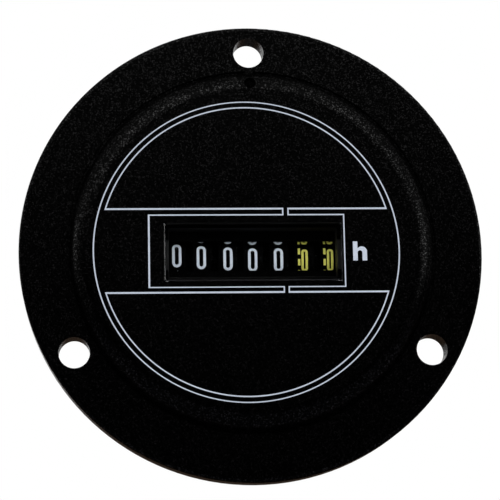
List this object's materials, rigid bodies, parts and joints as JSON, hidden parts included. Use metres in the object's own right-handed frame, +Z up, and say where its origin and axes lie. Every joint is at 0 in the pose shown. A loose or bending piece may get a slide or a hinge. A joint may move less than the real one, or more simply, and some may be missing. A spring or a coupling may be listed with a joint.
{
  "type": "hour meter",
  "caption": "Round black panel hour meter with a bolt-on flange, a clear window over number wheels, a geared stepping motor inside and rear blade terminals.",
  "frame": {"origin": "centre of the flange's back face, on the panel", "axes": "+Y from the front through the panel, +Z up, +X to the right seen from the front"},
  "size_m": [0.072, 0.0551, 0.072],
  "materials": {
    "bezel_plastic": "fine moulded texture, satin",
    "case_plastic": "fine moulded texture, satin",
    "lens_clear": "clear, polished",
    "frame_plastic": "matt black",
    "wheel_plastic": "satin black",
    "gear_plastic": "natural acetal",
    "pin_steel": "ground",
    "screw_steel": "bright zinc",
    "clip_brass": "plain",
    "terminal_brass": "tinned",
    "magnet": "sintered",
    "stator_iron": "rolled sheet",
    "bobbin_plastic": "satin",
    "coil_copper": "enamelled wire",
    "board": "green mask",
    "can_metal": "drawn can",
    "chip_plastic": "moulded",
    "capacitor_sleeve": "shrunk sleeve"
  },
  "bodies": {
    "housing": {"bezel": "bezel_plastic", "lens": "lens_clear", "case": "case_plastic", "counter_frame": "frame_plastic", "wheel_shaft": "pin_steel", "pinion_shaft": "pin_steel", "drive_pin": "pin_steel", "reduction_pin": "pin_steel", "rotor_pin": "pin_steel", "gear_clips": "clip_brass", "stator": "stator_iron", "coil_core": "stator_iron", "coil_bobbin": "bobbin_plastic", "coil_winding": "coil_copper", "coil_pins": "clip_brass", "motor_screws": "screw_steel", "circuit_board": "board", "quartz_crystal": "can_metal", "control_chip": "chip_plastic", "capacitor": "capacitor_sleeve", "resistor": "chip_plastic", "terminal_left": "terminal_brass", "terminal_right": "terminal_brass", "frame_screws": "screw_steel", "board_screws": "screw_steel"},
    "hundredths_wheel": {"hundredths_wheel": "wheel_plastic"},
    "tenths_wheel": {"tenths_wheel": "wheel_plastic"},
    "units_wheel": {"units_wheel": "wheel_plastic"},
    "tens_wheel": {"tens_wheel": "wheel_plastic"},
    "hundreds_wheel": {"hundreds_wheel": "wheel_plastic"},
    "thousands_wheel": {"thousands_wheel": "wheel_plastic"},
    "ten_thousands_wheel": {"ten_thousands_wheel": "wheel_plastic"},
    "transfer_pinion_1": {"transfer_pinion_1": "gear_plastic"},
    "transfer_pinion_2": {"transfer_pinion_2": "gear_plastic"},
    "transfer_pinion_3": {"transfer_pinion_3": "gear_plastic"},
    "transfer_pinion_4": {"transfer_pinion_4": "gear_plastic"},
    "transfer_pinion_5": {"transfer_pinion_5": "gear_plastic"},
    "transfer_pinion_6": {"transfer_pinion_6": "gear_plastic"},
    "drive_gear": {"drive_gear": "gear_plastic"},
    "reduction_gear": {"reduction_gear": "gear_plastic"},
    "rotor": {"rotor_hub": "gear_plastic", "rotor_magnet": "magnet"}
  },
  "joints": [
    {"name": "drive_gear_spin", "type": "hinge", "parent": "housing", "child": "drive_gear", "pos_m": [0, 0.01147, 0.0045], "axis": [1, 0, 0], "continuous": true},
    {"name": "hundredths_wheel_spin", "type": "hinge", "parent": "housing", "child": "hundredths_wheel", "pos_m": [0, 0.00515, -0.0008], "axis": [-1, 0, 0], "continuous": true},
    {"name": "tenths_wheel_spin", "type": "hinge", "parent": "housing", "child": "tenths_wheel", "pos_m": [0, 0.00515, -0.0008], "axis": [-1, 0, 0], "continuous": true},
    {"name": "units_wheel_spin", "type": "hinge", "parent": "housing", "child": "units_wheel", "pos_m": [0, 0.00515, -0.0008], "axis": [-1, 0, 0], "continuous": true},
    {"name": "tens_wheel_spin", "type": "hinge", "parent": "housing", "child": "tens_wheel", "pos_m": [0, 0.00515, -0.0008], "axis": [-1, 0, 0], "continuous": true},
    {"name": "hundreds_wheel_spin", "type": "hinge", "parent": "housing", "child": "hundreds_wheel", "pos_m": [0, 0.00515, -0.0008], "axis": [-1, 0, 0], "continuous": true},
    {"name": "thousands_wheel_spin", "type": "hinge", "parent": "housing", "child": "thousands_wheel", "pos_m": [0, 0.00515, -0.0008], "axis": [-1, 0, 0], "continuous": true},
    {"name": "ten_thousands_wheel_spin", "type": "hinge", "parent": "housing", "child": "ten_thousands_wheel", "pos_m": [0, 0.00515, -0.0008], "axis": [-1, 0, 0], "continuous": true},
    {"name": "transfer_pinion_1_spin", "type": "hinge", "parent": "housing", "child": "transfer_pinion_1", "pos_m": [0, 0.0101, -0.0067], "axis": [1, 0, 0], "continuous": true},
    {"name": "transfer_pinion_2_spin", "type": "hinge", "parent": "housing", "child": "transfer_pinion_2", "pos_m": [0, 0.0101, -0.0067], "axis": [1, 0, 0], "continuous": true},
    {"name": "transfer_pinion_3_spin", "type": "hinge", "parent": "housing", "child": "transfer_pinion_3", "pos_m": [0, 0.0101, -0.0067], "axis": [1, 0, 0], "continuous": true},
    {"name": "transfer_pinion_4_spin", "type": "hinge", "parent": "housing", "child": "transfer_pinion_4", "pos_m": [0, 0.0101, -0.0067], "axis": [1, 0, 0], "continuous": true},
    {"name": "transfer_pinion_5_spin", "type": "hinge", "parent": "housing", "child": "transfer_pinion_5", "pos_m": [0, 0.0101, -0.0067], "axis": [1, 0, 0], "continuous": true},
    {"name": "transfer_pinion_6_spin", "type": "hinge", "parent": "housing", "child": "transfer_pinion_6", "pos_m": [0, 0.0101, -0.0067], "axis": [1, 0, 0], "continuous": true},
    {"name": "reduction_gear_spin", "type": "hinge", "parent": "housing", "child": "reduction_gear", "pos_m": [0, 0.01915, 0.0045], "axis": [-1, 0, 0], "continuous": true},
    {"name": "rotor_spin", "type": "hinge", "parent": "housing", "child": "rotor", "pos_m": [0, 0.02299, -0.00215], "axis": [1, 0, 0], "continuous": true}
  ],
  "couplings": [
    {"joint": "hundredths_wheel_spin", "follows": "drive_gear_spin", "ratio": 0.5},
    {"joint": "tenths_wheel_spin", "follows": "drive_gear_spin", "ratio": 0.05},
    {"joint": "units_wheel_spin", "follows": "drive_gear_spin", "ratio": 0.005},
    {"joint": "tens_wheel_spin", "follows": "drive_gear_spin", "ratio": 0.0005},
    {"joint": "hundreds_wheel_spin", "follows": "drive_gear_spin", "ratio": 0.00005},
    {"joint": "thousands_wheel_spin", "follows": "drive_gear_spin", "ratio": 0.000005},
    {"joint": "ten_thousands_wheel_spin", "follows": "drive_gear_spin", "ratio": 0.0000005},
    {"joint": "transfer_pinion_1_spin", "follows": "drive_gear_spin", "ratio": 0.125},
    {"joint": "transfer_pinion_2_spin", "follows": "drive_gear_spin", "ratio": 0.0125},
    {"joint": "transfer_pinion_3_spin", "follows": "drive_gear_spin", "ratio": 0.00125},
    {"joint": "transfer_pinion_4_spin", "follows": "drive_gear_spin", "ratio": 0.000125},
    {"joint": "transfer_pinion_5_spin", "follows": "drive_gear_spin", "ratio": 0.0000125},
    {"joint": "transfer_pinion_6_spin", "follows": "drive_gear_spin", "ratio": 0.00000125},
    {"joint": "reduction_gear_spin", "follows": "drive_gear_spin", "ratio": 5},
    {"joint": "rotor_spin", "follows": "drive_gear_spin", "ratio": 25}
  ]
}
